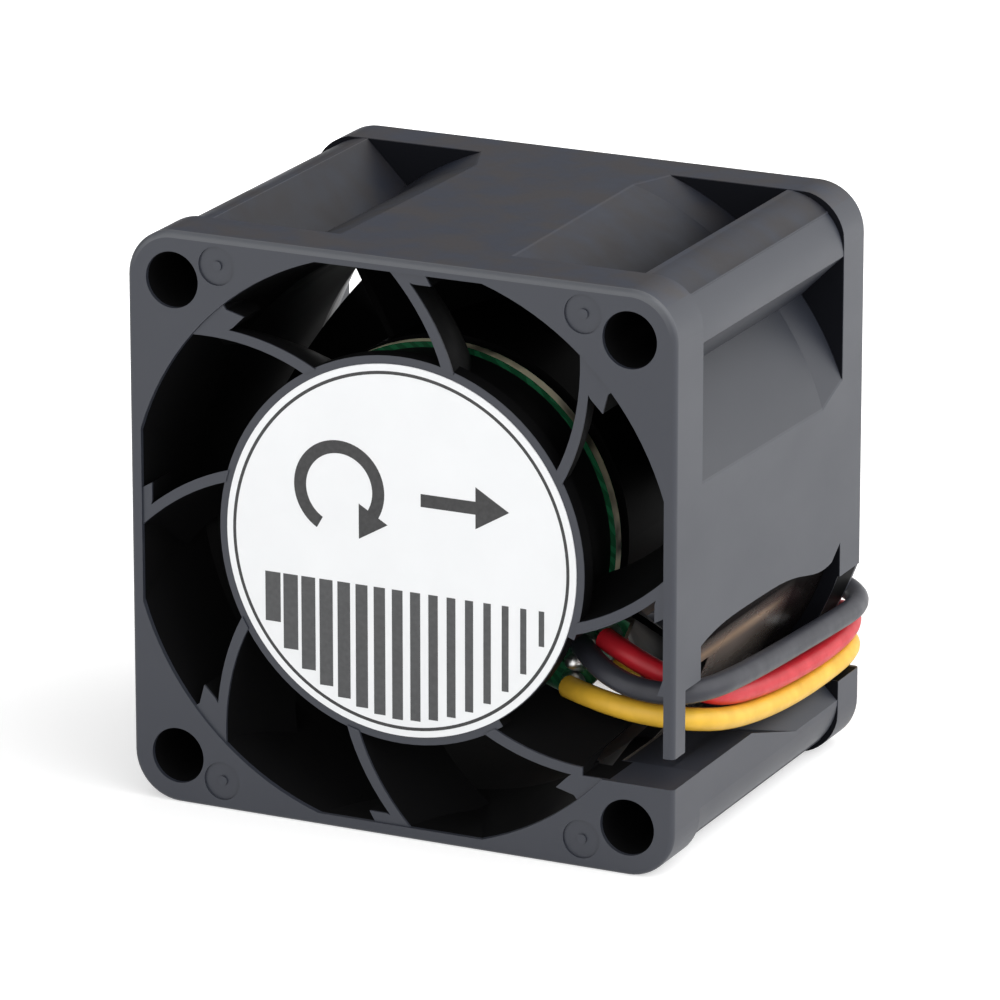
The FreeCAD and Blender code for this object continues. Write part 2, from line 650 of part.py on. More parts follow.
def make_lead_tie():
    """Band wrapped round the coil, on the side away from the fan."""
    top = COIL_BOTTOM + 2 * LEAD_RADIUS + (COIL_LAYERS - 1) * COIL_LAYER_STEP
    near = COIL_CENTRE[1] + COIL_TURN_INNER - LEAD_RADIUS
    far = COIL_CENTRE[1] + COIL_TURN_OUTER + LEAD_RADIUS
    x = (COIL_CENTRE[0] - TIE_WIDTH / 2, COIL_CENTRE[0] + TIE_WIDTH / 2)
    outside = block(x, (near - TIE_THICKNESS - TIE_SLACK, far + TIE_THICKNESS), (0, top + TIE_THICKNESS))
    rounded = [e for e in outside.Edges if abs(e.Vertexes[0].X - e.Vertexes[1].X) > 1e-6]
    outside = outside.makeFillet(TIE_ROUND, rounded)
    band = outside.cut(block(x, (near - TIE_SLACK, far), (COIL_BOTTOM, top)))
    band.translate(V(0, 0, -HALF))
    return band


def make_lead_tips(route_lengths):
    """Stripped ends, where each lead's last turn ends, bent into the coil's open middle.
    A lead winds clockwise from the coil's side nearest the fan, one layer to each lead."""
    tips = []
    per_turn = math.pi * (COIL_TURN_OUTER + COIL_TURN_INNER)
    for layer, routed in enumerate(route_lengths):
        height = COIL_BOTTOM + LEAD_RADIUS + layer * COIL_LAYER_STEP - HALF
        turns = (LEAD_LENGTH - TIP_LENGTH - routed) / per_turn
        turn = math.radians(270.0 - 360.0 * turns)
        out = V(math.cos(turn), math.sin(turn), 0)
        side = V(math.sin(turn), -math.cos(turn), 0)
        start = V(COIL_CENTRE[0], COIL_CENTRE[1], height) + out * COIL_TURN_INNER
        heading = side * 0.8 - out * 0.6
        tips.append(Part.makeCylinder(TIP_RADIUS, TIP_LENGTH, start, heading))
    return Part.makeCompound(tips)


def main():
    os.makedirs("parts", exist_ok=True)
    save("frame", make_frame())
    save("hub_label", disc(LABEL_RADIUS, BASE_FRONT - LABEL_THICKNESS, BASE_FRONT))
    save("bearing_tube", make_bearing_tube())
    make_bearing("front_bearing", FRONT_BEARING)
    make_bearing("rear_bearing", REAR_BEARING)
    save("shaft", make_shaft())
    save("retaining_ring", make_retaining_ring())
    save("preload_spring", make_preload_spring())
    save("rotor_bush", ring(SHAFT_RADIUS, BUSH_RADIUS, BUSH_FRONT, YOKE_BACK))
    save("rotor_yoke", make_rotor_yoke())
    save("magnet_ring", ring(MAGNET_BORE, YOKE_BORE, MAGNET_FRONT, MAGNET_BACK))
    save("impeller", make_impeller())
    save("stator_core", pole_plate(STACK_FRONT, STACK_BACK))
    save("front_insulator", pole_plate(STACK_FRONT - INSULATOR_THICKNESS, STACK_FRONT))
    save("rear_insulator", pole_plate(STACK_BACK, STACK_BACK + INSULATOR_THICKNESS))
    save("stator_coils", make_stator_coils())
    save("circuit_board", make_circuit_board())
    save("driver_chip", on_board(CHIP_SIZE, *CHIP_PLACE))
    save("hall_sensor", on_board(SENSOR_SIZE, *SENSOR_PLACE, behind=True))
    save("capacitor", on_board(CAPACITOR_SIZE, *CAPACITOR_PLACE))
    resistors = [on_board(RESISTOR_SIZE, RESISTOR_CIRCLE, angle) for angle in RESISTOR_ANGLES]
    save("resistors", Part.makeCompound(resistors))
    joints = [solder_joint(points[0]) for points in LEADS.values()] + [solder_joint(EXTRA_JOINT)]
    save("solder_joints", Part.makeCompound(joints))
    route_lengths = []
    for name, points in LEADS.items():
        tube, length = make_lead(name, points)
        route_lengths.append(length)
        save(name, tube)
    save("lead_coil", make_lead_coil())
    save("lead_tie", make_lead_tie())
    save("lead_tips", make_lead_tips(route_lengths))


main()
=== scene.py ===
"""Looks of a square cooling fan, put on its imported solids.

Metres, in the frame of the solids: +Z up, the fan axis along Y, the label facing -Y.
"""

import math

import bmesh
import bpy
from mathutils import Matrix, Vector


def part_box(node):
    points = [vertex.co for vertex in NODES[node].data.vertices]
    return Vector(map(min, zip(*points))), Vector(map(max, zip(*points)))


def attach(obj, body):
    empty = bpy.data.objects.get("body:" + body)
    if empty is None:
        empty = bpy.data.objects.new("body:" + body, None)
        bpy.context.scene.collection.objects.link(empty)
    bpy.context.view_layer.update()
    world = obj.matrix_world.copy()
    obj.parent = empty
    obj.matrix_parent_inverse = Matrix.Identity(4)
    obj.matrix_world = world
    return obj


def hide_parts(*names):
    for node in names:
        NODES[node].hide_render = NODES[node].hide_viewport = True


bl_info = {
    "name": "Cooling Fan Looks",
    "version": (1, 0, 0),
    "blender": (4, 5, 0),
    "location": "View3D > Sidebar > Fan",
    "description": "Finishes, label, leads and stage of a square cooling fan",
    "category": "Object",
}

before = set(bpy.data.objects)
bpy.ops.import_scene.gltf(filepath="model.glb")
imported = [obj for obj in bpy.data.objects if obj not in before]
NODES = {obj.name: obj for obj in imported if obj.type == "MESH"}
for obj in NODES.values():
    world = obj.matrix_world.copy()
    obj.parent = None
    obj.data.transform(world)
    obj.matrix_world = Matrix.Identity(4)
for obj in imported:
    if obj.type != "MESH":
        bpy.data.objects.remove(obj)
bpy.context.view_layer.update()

MM = 0.001
BODY = "housing"
AXIS_HEIGHT = (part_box("frame")[0].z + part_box("frame")[1].z) / 2
LABEL_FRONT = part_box("hub_label")[0].y
LABEL_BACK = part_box("hub_label")[1].y
LABEL_RADIUS = (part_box("hub_label")[1].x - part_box("hub_label")[0].x) / 2
BOARD_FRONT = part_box("circuit_board")[0].y
BOARD_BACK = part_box("circuit_board")[1].y

# Routes of the leads from the board to the start of the coil, in millimetres from the floor
LEAD_ROUTES = {
    "yellow": [(8.6, -8.55, 9.2), (10.4, -9.6, 9.2), (13.2, -10.2, 8.95), (15.7, -10.1, 8.8),
               (17.3, -8.6, 8.4), (17.7, -5.6, 7.6), (17.7, -1.0, 6.75), (17.65, 4.2, 6.15),
               (17.5, 9.0, 5.9), (17.45, 13.6, 6.0), (16.4, 16.2, 6.05), (13.6, 17.0, 5.2),
               (9.8, 17.3, 3.4), (5.6, 17.7, 1.7), (1.2, 18.0, 1.05), (-3.0, 18.05, 1.0)],
    "red": [(11.0, -8.55, 12.6), (12.2, -9.1, 12.3), (14.0, -9.2, 11.5), (15.9, -8.9, 10.7),
            (17.2, -7.4, 9.7), (17.6, -4.6, 8.85), (17.7, 0.4, 8.05), (17.7, 5.6, 7.6),
            (17.55, 10.0, 7.35), (17.3, 14.0, 7.4), (16.2, 16.9, 7.5), (13.4, 18.2, 6.8),
            (9.9, 18.6, 4.9), (6.0, 18.5, 3.0), (1.5, 18.15, 2.5), (-3.0, 18.05, 2.45)],
    "black": [(9.4, -8.55, 12.0), (10.6, -9.8, 11.8), (12.2, -10.7, 11.15), (14.2, -11.0, 10.6),
              (16.5, -10.6, 10.45), (18.0, -8.9, 10.55), (18.4, -5.8, 10.4), (18.4, -1.2, 10.05),
              (18.4, 4.2, 9.75), (18.4, 9.0, 9.5), (18.2, 13.0, 9.2), (17.2, 15.6, 9.1),
              (15.0, 17.3, 9.2), (11.8, 18.6, 8.3), (8.2, 19.1, 6.2), (4.6, 18.9, 4.5),
              (0.9, 18.35, 3.95), (-3.0, 18.05, 3.9)],
}
LEAD_ROUTE_LENGTHS = {"yellow": 54.9, "red": 52.4, "black": 57.0}
LEAD_COLORS = {
    "yellow": (0.78, 0.46, 0.040),
    "red": (0.58, 0.014, 0.026),
    "black": (0.031, 0.032, 0.041),
}

# Spare solder joint in millimetres, and each joint's (radius, height) profile in metres
SPARE_JOINT = (8.8, -8.55, 10.75)
SOLDER_PROFILE = ((0.00085, 0.0), (0.00066, 0.00022), (0.00055, 0.00050), (0.00044, 0.00080),
                  (0.00024, 0.00098), (0.0, 0.00104))

# Base colour and flow-mark colour of the plain mouldings
TIE_NYLON = ((0.012, 0.012, 0.013), (0.018, 0.018, 0.019))
CHIP_EPOXY = ((0.016, 0.016, 0.017), (0.024, 0.024, 0.025))
FIRED_TAN = ((0.36, 0.22, 0.11), (0.42, 0.27, 0.14))
FERRITE = ((0.035, 0.035, 0.037), (0.050, 0.050, 0.052))

# How the marks in a finish are stretched: flow marks along the fan, lines round its axis or along it
FLOW = (1.0, 0.5, 1.0)
TURNED = (0.1, 1.0, 0.1)
DRAWN = (1.0, 0.1, 1.0)
STACKED = (0.05, 1.0, 0.05)


def color(name, words, default):
    return bpy.props.FloatVectorProperty(name=name, description=words, subtype="COLOR", size=3,
                                         min=0.0, max=1.0, default=default)


def length(name, words, default):
    return bpy.props.FloatProperty(name=name, description=words, subtype="DISTANCE", unit="LENGTH",
                                   default=default)


def share(name, words, default):
    return bpy.props.FloatProperty(name=name, description=words, subtype="FACTOR", min=0.0, max=1.0,
                                   default=default)


def amount(name, words, default, subtype="NONE"):
    return bpy.props.FloatProperty(name=name, description=words, subtype=subtype, default=default)


def count(name, words, default, least):
    return bpy.props.IntProperty(name=name, description=words, default=default, min=least)


class FanPlasticSettings(bpy.types.PropertyGroup):
    frame_color: color("Frame", "Charcoal of the moulded frame", (0.0225, 0.0258, 0.0365))
    flow_color: color("Flow marks", "Paler grey of the flow marks", (0.0285, 0.0315, 0.0415))
    warm_color: color("Warm mottle", "Brown of the mottled upper faces", (0.0295, 0.0270, 0.0305))
    cool_color: color("Cool mottle", "Blue of the mottled upper faces", (0.0190, 0.0235, 0.0385))
    # Painted shade: the air passage, the bores, the outlet's lip and the lead notch are painted near
    # black.
    passage_shade_color: color("Passage", "Black of the faces in the air passage", (0.0055, 0.0055, 0.0058))
    core_radius: length("Passage radius", "Radius of the air passage behind the front face", 0.01785)
    core_start: length("Passage start", "Where the smooth faces of the passage begin", -0.0137)
    fade_start: length("Fade start", "Where the passage begins to turn charcoal", 0.0085)
    fade_end: length("Fade end", "Where the passage is charcoal, towards the inlet", 0.0125)
    lip_radius: length("Lip radius", "Radius of the outlet's lip in the front flange", 0.0184)
    lip_end: length("Lip end", "Where that lip ends, short of the flange's back", -0.0104)
    notch_start: length("Notch start", "Where the lead notch in the rear flange begins", 0.0108)
    notch_end: length("Notch end", "Where the lead notch is no longer black", 0.0137)
    notch_side: length("Notch side", "From the fan axis across to the lead notch", 0.0145)
    notch_low: length("Notch foot", "Foot of the lead notch below the axis", -0.0130)
    notch_high: length("Notch top", "Top of the lead notch below the axis", -0.0040)
    skin: length("Skin", "Depth under the outer faces from which a face lies inside", 0.00005)
    hole_reach: length("Hole reach", "From the fan axis to a hole, across and up", 0.015)
    hole_radius: length("Hole radius", "Radius within which a mounting hole's bore is black", 0.0018)
    # Painted shade: deep in the pockets, on the posts' slanted faces and along the pockets' rear walls.
    pocket_shade_color: color("Pockets", "Darker grey deep in the pockets", (0.008, 0.0085, 0.011))
    pocket_start: length("Pocket start", "Where the pockets begin, behind the front flange", -0.01025)
    pocket_end: length("Pocket end", "Where the pockets end, at the rear flange", 0.01075)
    wall: length("Pocket wall", "Depth of the black at the pockets' rear wall", 0.00015)
    post_inner: length("Post foot", "From the fan axis to the foot of a post's slanted face", 0.0102)
    post_outer: length("Post top", "From the fan axis to the top of a post's slanted face", 0.0143)
    side_shade: share("Side shade", "Darkening deep in the side pockets", 0.60)
    upper_shade: share("Upper shade", "Darkening deep in the upper pockets", 0.85)
    edge_shade: share("Edge shade", "Darkening at the edge of the upper pockets", 0.26)
    barrel_shade: share("Barrel shade", "Least darkening of the barrel between the posts", 0.24)
    slant_shade: share("Slant shade", "Darkening of the upper left post's slanted face", 0.60)
    # Painted highlight on the front flange's upper rim, with its width and where it ends.
    rim_color: color("Rim", "Paler grey of the front flange's worn upper rim", (0.072, 0.076, 0.086))
    rim_width: length("Rim width", "Width of the worn rim", 0.0004)
    rim_end: length("Rim end", "Where the worn rim ends, behind the front face", -0.0136)
    corner: length("Corner", "Radius of the flange's corners", 0.0030)
    # Painted light, with the brown of the leads' painted reflection, on the lead channel's floor.
    channel_color: color("Channel", "Brown of the glossy lead channel", (0.116, 0.100, 0.086))
    channel_radius: length("Channel radius", "Radius within which the channel's floor lies", 0.01797)
    channel_polish: share("Channel polish", "How much smoother the channel is", 0.16)
    # Painted highlight: a pale brown streak along the lead channel, with its foot, middle and top below
    # the axis.
    channel_highlight_color: color("Scuff", "Pale brown where the leads rubbed the channel", (0.27, 0.20, 0.135))
    highlight_low: length("Scuff foot", "Foot of the rubbed streak below the axis", -0.0067)
    highlight_middle: length("Scuff middle", "Middle of the rubbed streak below the axis", -0.0060)
    highlight_high: length("Scuff top", "Top of the rubbed streak below the axis", -0.0056)
    shadow_color: color("Channel shadow", "Black of the channel's edge and rear", (0.006, 0.005, 0.005))
    # Painted shade: the impeller is painted near black everywhere but at its nose.
    shaded_rotor_color: color("Impeller", "Black of the impeller at the outlet", (0.0035, 0.0035, 0.0037))
    nose_color: color("Impeller nose", "Black of the impeller at the inlet", (0.013, 0.0135, 0.0150))
    nose_start: length("Nose start", "Where the impeller begins to show the nose's black", 0.0084)
    nose_end: length("Nose end", "Where the impeller has the nose's black", 0.0104)
    grain: length("Grain", "Width of one grain of the moulded texture", 0.00016)


class FanLabelSettings(bpy.types.PropertyGroup):
    film_color: color("Film", "White of the label film", (0.82, 0.83, 0.84))
    ink_color: color("Ink", "Black print", (0.012, 0.012, 0.013))
    grey_color: color("Grey ink", "Grey print", (0.045, 0.046, 0.048))
    ink_height: length("Ink height", "How far the print stands on the film", 0.00001)
    rim_gap: length("Rim gap", "From the label's rim to its printed line", 0.00042)
    rim_line: length("Rim line", "Width of the printed line", 0.00020)
    bars: count("Bars", "Bars in the lower field", 17, 1)
    field_gap: length("Field gap", "From the label's rim to the field of bars", 0.0010)
    field_top: length("Field top", "Upper edge of the field, from the axis", -0.0024)


class FanLeadSettings(bpy.types.PropertyGroup):
    length: length("Length", "Length of each lead with its stripped end", 0.300)
    diameter: length("Diameter", "Diameter over the insulation", 0.0014)
    tip_length: length("Stripped end", "Length of the stripped end", 0.004)
    tip_radius: length("Stripped radius", "Radius of the tinned strands", 0.0004)
    coil_x: length("Coil X", "Middle of the coil, across the fan", -0.003)
    coil_y: length("Coil Y", "Middle of the coil, behind the fan", 0.0297)
    coil_outer: length("Outer turn", "Radius of the outermost turn", 0.01165)
    coil_inner: length("Inner turn", "Radius of the innermost turn", 0.0049)
    layer_low: length("Lowest layer", "Height of the lowest layer's middle", 0.0010)
    layer_step: length("Layer step", "Height from one layer to the next", 0.00145)
    turn_points: count("Points", "Points in one turn", 18, 12)
    tie_snug: length("Tie snug", "How far the tie is drawn in on the outer turn", 0.0006)
    tie_thick: length("Tie thickness", "Thickness of the tie's strap and tail", 0.0003)


class FanMotorSettings(bpy.types.PropertyGroup):
    mask_color: color("Solder mask", "Green of the board", (0.008, 0.075, 0.030))
    laminate_color: color("Laminate", "Bare edge of the board", (0.78, 0.72, 0.50))
    copper_color: color("Winding", "Enamelled wire of the coils", (0.42, 0.13, 0.04))
    steel_color: color("Steel", "Bearings, shaft and yoke", (0.56, 0.56, 0.57))
    brass_color: color("Brass", "Bearing tube and rotor bush", (0.60, 0.42, 0.16))
    nylon_color: color("Nylon", "Insulators of the core", (0.70, 0.67, 0.56))
    tin_color: color("Solder", "Solder joints and stripped ends", (0.80, 0.80, 0.79))


class FanStageSettings(bpy.types.PropertyGroup):
    azimuth: amount("Azimuth", "Camera's turn from straight ahead", math.radians(25.536), "ANGLE")
    elevation: amount("Elevation", "Camera's height angle", math.radians(17.375), "ANGLE")
    distance: length("Distance", "Camera's distance from its target", 0.464473)
    target: bpy.props.FloatVectorProperty(name="Target", description="Point that the camera looks at",
                                          subtype="TRANSLATION", unit="LENGTH", size=3,
                                          default=(-0.000014, 0.0, 0.017324))
    lens: amount("Lens", "Focal length in millimetres", 274.24)
    floor_color: color("Floor", "White of the floor", (0.70, 0.70, 0.70))
    near_glow: amount("Near glow", "Added to the floor seen by the fan", 0.48)
    far_glow: amount("Far glow", "Added to the floor seen far away", 1.0)
    glow_start: length("Glow start", "Where the floor begins to brighten", 0.04)
    glow_end: length("Glow end", "Where the floor is brightest", 0.20)
    dark_side: amount("Dark side", "Light from the left half of the room", 0.20)
    bright_side: amount("Bright side", "Light from the right half of the room", 1.5)


SETTINGS = {
    "fan_plastic": FanPlasticSettings,
    "fan_label": FanLabelSettings,
    "fan_leads": FanLeadSettings,
    "fan_motor": FanMotorSettings,
    "fan_stage": FanStageSettings,
}


def tinted(base, factor):
    """Colour made darker or paler."""
    return tuple(min(1.0, factor * part) for part in base)


class Graph:
    """Node tree, and the few nodes that the finishes and the room share."""

    def __init__(self, tree, coordinates):
        self.nodes = tree.nodes
        self.links = tree.links
        self.place = self.nodes.new("ShaderNodeTexCoord").outputs[coordinates]

    def feed(self, socket, value):
        """Link an output to a node's socket, or set the socket to a value."""
        if isinstance(value, bpy.types.NodeSocket):
            self.links.new(value, socket)
        else:
            socket.default_value = value

    def stretched(self, scale):
        """Object coordinates with each axis scaled."""
        node = self.nodes.new("ShaderNodeMapping")
        node.inputs["Scale"].default_value = scale
        self.links.new(self.place, node.inputs["Vector"])
        return node.outputs["Vector"]

    def noise(self, size, detail=2.0, vector=None):
        """Noise whose spots are about that size, in metres."""
        node = self.nodes.new("ShaderNodeTexNoise")
        node.inputs["Scale"].default_value = 1.0 / size
        node.inputs["Detail"].default_value = detail
        self.links.new(vector or self.place, node.inputs["Vector"])
        return node.outputs["Fac"]

    def wave(self, width, distort):
        """Slanting bands, each about that wide."""
        node = self.nodes.new("ShaderNodeTexWave")
        node.bands_direction = "DIAGONAL"
        node.inputs["Scale"].default_value = math.pi / 10.0 / width
        node.inputs["Distortion"].default_value = distort
        self.links.new(self.place, node.inputs["Vector"])
        return node.outputs["Fac"]

    def spread(self, value, low, high, start=0.3, end=0.7):
        """A value from start to end, mapped from low to high."""
        node = self.nodes.new("ShaderNodeMapRange")
        node.inputs["From Min"].default_value = start
        node.inputs["From Max"].default_value = end
        node.inputs["To Min"].default_value = low
        node.inputs["To Max"].default_value = high
        self.links.new(value, node.inputs["Value"])
        return node.outputs["Result"]

    def mix(self, factor, first, second):
        """Colour between two colours, each one linked or plain."""
        node = self.nodes.new("ShaderNodeMix")
        node.data_type = "RGBA"
        self.links.new(factor, node.inputs["Factor"])
        for socket, value in ((node.inputs[6], first), (node.inputs[7], second)):
            self.feed(socket, value if isinstance(value, bpy.types.NodeSocket) else (*value, 1.0))
        return node.outputs[2]

    def choose(self, mask, first, second):
        """First value where a mask is 0, and second where it is 1."""
        node = self.nodes.new("ShaderNodeMix")
        self.links.new(mask, node.inputs["Factor"])
        self.feed(node.inputs["A"], first)
        self.feed(node.inputs["B"], second)
        return node.outputs["Result"]

    def math(self, operation, first, second=0.0):
        node = self.nodes.new("ShaderNodeMath")
        node.operation = operation
        self.feed(node.inputs[0], first)
        self.feed(node.inputs[1], second)
        return node.outputs["Value"]

    def both(self, first, *others):
        """Product of masks: 1 where all of them are."""
        for mask in others:
            first = self.math("MULTIPLY", first, mask)
        return first

    def either(self, first, *others):
        """Largest of some masks."""
        for mask in others:
            first = self.math("MAXIMUM", first, mask)
        return first

    def above(self, value, limit):
        return self.math("GREATER_THAN", value, limit)

    def below(self, value, limit):
        return self.math("LESS_THAN", value, limit)

    def between(self, value, low, high):
        """1 where a value lies between two limits, otherwise 0."""
        return self.both(self.above(value, low), self.below(value, high))

    def axes(self):
        """The place's X, Y and Z."""
        node = self.nodes.new("ShaderNodeSeparateXYZ")
        self.links.new(self.place, node.inputs["Vector"])
        return node.outputs[:]

    def distance(self, across, up):
        """Length of the step that goes so far across and so far up."""
        return self.math("SQRT", self.math("ADD", self.both(across, across), self.both(up, up)))

    def rays(self, *kinds):
        """1 for those kinds of ray, otherwise 0."""
        seen = self.nodes.new("ShaderNodeLightPath").outputs
        total = seen[kinds[0]]
        for kind in kinds[1:]:
            total = self.math("ADD", total, seen[kind])
        return total


class Finish(Graph):
    """Material with its shader."""

    def __init__(self, name, base, roughness, metallic=0.0):
        self.material = bpy.data.materials.new(name)
        self.material.use_nodes = True
        super().__init__(self.material.node_tree, "Object")
        self.shader = self.nodes["Principled BSDF"]
        self.set("Base Color", (*base, 1.0))
        self.set("Roughness", roughness)
        self.set("Metallic", metallic)

    def set(self, socket, value):
        self.shader.inputs[socket].default_value = value

    def link(self, output, socket):
        self.links.new(output, self.shader.inputs[socket])

    def bump(self, height, depth, strength):
        node = self.nodes.new("ShaderNodeBump")
        node.inputs["Strength"].default_value = strength
        node.inputs["Distance"].default_value = depth
        self.links.new(height, node.inputs["Height"])
        self.link(node.outputs["Normal"], "Normal")

    def flow_marks(self):
        """Soft marks that the plastic left as it flowed into the mould."""
        return self.noise(size=0.006, detail=4.0, vector=self.stretched(FLOW))

    def mould_grain(self, grain):
        """Fine texture that a mould's wall leaves."""
        self.bump(self.noise(grain), depth=0.000006, strength=0.35)


def moulded_plastic(name, base, second, grain, roughness):
    """Fine-textured moulding with soft flow marks in its colour and gloss."""
    finish = Finish(name, base, roughness)
    flow = finish.flow_marks()
    finish.link(finish.mix(finish.spread(flow, 0.0, 1.0), base, second), "Base Color")
    finish.link(finish.spread(flow, roughness - 0.05, roughness + 0.07), "Roughness")
    finish.mould_grain(grain)
    return finish.material


class FramePlastic(Finish):
    """Charcoal moulding: mottled where the mould's upper slide made it, with painted shade in the pockets,
    painted light, shadow and highlight in the lead channel, a painted highlight on the front rim and
    painted black shade in the air passage and the bores."""

    def __init__(self, look):
        super().__init__("charcoal_plastic", look.frame_color, roughness=0.44)
        self.look = look
        self.across, self.along, height = self.axes()
        self.up = self.math("SUBTRACT", height, AXIS_HEIGHT)
        self.wide = self.math("ABSOLUTE", self.across)
        self.tall = self.math("ABSOLUTE", self.up)
        self.radius = self.distance(self.across, self.up)
        self.depth = self.math("SUBTRACT", AXIS_HEIGHT, self.either(self.wide, self.tall))
        self.sunken = self.above(self.depth, look.skin)
        self.behind = self.above(self.along, look.core_start)
        self.upper = self.both(self.behind, self.above(self.up, self.wide))
        self.pockets = self.between(self.along, look.pocket_start, look.pocket_end)

    def black_shade_faces(self):
        """Painted shade: black on the passage, the bores of the holes, the lip of the outlet and the lead
        notch.
        """
        look = self.look
        deep = self.spread(self.along, 1.0, 0.0, start=look.fade_start, end=look.fade_end)
        passage = self.both(deep, self.below(self.radius, look.core_radius))
        sideways = self.math("SUBTRACT", self.wide, look.hole_reach)
        upwards = self.math("SUBTRACT", self.tall, look.hole_reach)
        bore = self.below(self.distance(sideways, upwards), look.hole_radius)
        lip = self.both(self.below(self.along, look.lip_end), self.below(self.radius, look.lip_radius))
        notch = self.both(self.between(self.along, look.notch_start, look.notch_end),
                          self.between(self.up, look.notch_low, look.notch_high),
                          self.above(self.across, look.notch_side))
        lips = self.both(self.either(lip, notch), self.sunken)
        return self.both(self.behind, self.either(passage, bore, lips))

    def pocket_shade(self):
        """How dark the pockets between the flanges are painted as shade, down to their rear walls."""
        look = self.look
        side = self.spread(self.depth, 0.0, look.side_shade, start=0.0015, end=0.0050)
        upper = self.spread(self.depth, look.edge_shade, look.upper_shade, start=0.0002, end=0.0024)
        barrel = self.below(self.math("MINIMUM", self.wide, self.tall), look.post_outer)
        shade = self.either(self.choose(self.upper, side, upper), self.both(barrel, look.barrel_shade))
        # Painted shade on the upper left post's slanted face.
        slant = self.both(self.upper, self.between(self.across, -look.post_outer, -look.post_inner))
        shade = self.choose(slant, shade, look.slant_shade)
        # Painted black shade along the pockets' rear walls.
        wall = self.between(self.along, look.pocket_end - look.wall, look.pocket_end)
        return self.both(self.pockets, self.either(shade, wall), self.sunken)

    def channel_light(self):
        """1 where the lead channel's floor is painted lit, fading to painted shadow at its edge and rear.
        """
        return self.both(self.spread(self.along, 1.0, 0.0, start=-0.0020, end=0.0060),
                         self.spread(self.up, 1.0, 0.0, start=-0.0056, end=-0.0049))

    def lit_and_shaded_channel(self, lit):
        """Painted light with the brown of the leads' painted reflection on the lead channel, painted
        shadow at its edge and rear, and a painted highlight streak along it.
        """
        look = self.look
        brown = self.mix(lit, look.shadow_color, look.channel_color)
        # Painted highlight streak along the channel's floor.
        painted_streak = self.both(self.spread(self.up, 0.0, 1.0, start=look.highlight_low, end=look.highlight_middle),
                          self.spread(self.up, 1.0, 0.0, start=look.highlight_middle, end=look.highlight_high),
                          self.spread(self.along, 1.0, 0.0, start=0.0010, end=0.0050))
        return self.mix(painted_streak, brown, look.channel_highlight_color)

    def rim_highlight(self):
        """Painted highlight on the upper rim of the front flange, fading round its corners."""
        look = self.look
        flat = AXIS_HEIGHT - look.corner
        past = [self.either(self.math("SUBTRACT", side, flat), 0.0) for side in (self.wide, self.tall)]
        crest = self.math("SUBTRACT", self.up, self.wide)
        return self.both(self.below(self.along, look.rim_end),
                         self.above(self.distance(*past), look.corner - look.rim_width),
                         self.spread(crest, 0.0, 1.0, start=-0.0022, end=0.0008))

    def paint(self):
        """Put the faces' colours, gloss and grain together."""
        look = self.look
        black_shade = self.black_shade_faces()
        shade = self.pocket_shade()
        channel = self.both(self.pockets, self.between(self.radius, look.core_radius, look.channel_radius))
        lit = self.channel_light()
        flow = self.flow_marks()
        patches = self.noise(size=0.0026, detail=6.0)
        plain = self.mix(self.spread(flow, 0.0, 1.0), look.frame_color, look.flow_color)
        blots = self.spread(patches, 0.0, 1.0, start=0.38, end=0.62)
        mottle = self.mix(blots, look.cool_color, look.warm_color)
        # Painted shade in the pockets.
        outside = self.mix(shade, self.mix(self.upper, plain, mottle), look.pocket_shade_color)
        # Painted light, shadow, reflection and highlight in the lead channel.
        outside = self.mix(channel, outside, self.lit_and_shaded_channel(lit))
        # Painted highlight on the front rim.
        outside = self.mix(self.rim_highlight(), outside, look.rim_color)
        # Painted shade: near black over the passage, the bores, the lip and the notch.
        self.link(self.mix(black_shade, outside, look.passage_shade_color), "Base Color")
        haze = self.spread(flow, 0.40, 0.50)
        patchy = self.both(self.upper, self.spread(patches, -0.06, 0.08))
        polish = self.both(channel, look.channel_polish)
        self.link(self.math("SUBTRACT", self.math("ADD", haze, patchy), polish), "Roughness")
        unlit = self.choose(channel, shade, self.math("SUBTRACT", 1.0, lit))
        gloss = self.spread(self.either(black_shade, unlit), 0.5, 0.01, start=0.0, end=1.0)
        self.link(gloss, "Specular IOR Level")
        self.mould_grain(look.grain)
        return self.material


def impeller_plastic(look):
    """Black moulding with painted shade: plain, near black and dull towards the outlet, paler and smoother
    at the nose.
    """
    finish = Finish("impeller_black", look.shaded_rotor_color, roughness=0.45)
    along = finish.axes()[1]
    nose = finish.spread(along, 0.0, 1.0, start=look.nose_start, end=look.nose_end)
    flow = finish.flow_marks()
    shown = finish.mix(finish.spread(flow, 0.0, 1.0), look.nose_color, tinted(look.nose_color, 1.4))
    # Painted shade: near black away from the nose.
    finish.link(finish.mix(nose, look.shaded_rotor_color, shown), "Base Color")
    finish.link(finish.spread(flow, 0.40, 0.50), "Roughness")
    finish.link(finish.spread(nose, 0.02, 0.45, start=0.0, end=1.0), "Specular IOR Level")
    finish.mould_grain(look.grain)
    return finish.material


def metal(name, base, roughness, stretch=(1.0, 1.0, 1.0), lines=0.0002):
    """Bare metal with the fine lines of turning, drawing or grinding."""
    finish = Finish(name, base, roughness, metallic=1.0)
    marks = finish.noise(size=lines, detail=3.0, vector=finish.stretched(stretch))
    finish.link(finish.spread(marks, roughness - 0.06, roughness + 0.10), "Roughness")
    finish.bump(marks, depth=0.000003, strength=0.4)
    return finish.material


def insulation(name, base):
    """Extruded lead insulation: waxy, with slight unevenness along it."""
    finish = Finish(name, base, roughness=0.44)
    finish.set("Specular IOR Level", 0.36)
    drift = finish.noise(size=0.0016, detail=3.0)
    finish.link(finish.mix(finish.spread(drift, 0.0, 1.0), base, tinted(base, 0.78)), "Base Color")
    finish.link(finish.spread(drift, 0.38, 0.50), "Roughness")
    finish.bump(finish.noise(size=0.0004), depth=0.000008, strength=0.5)
    return finish.material


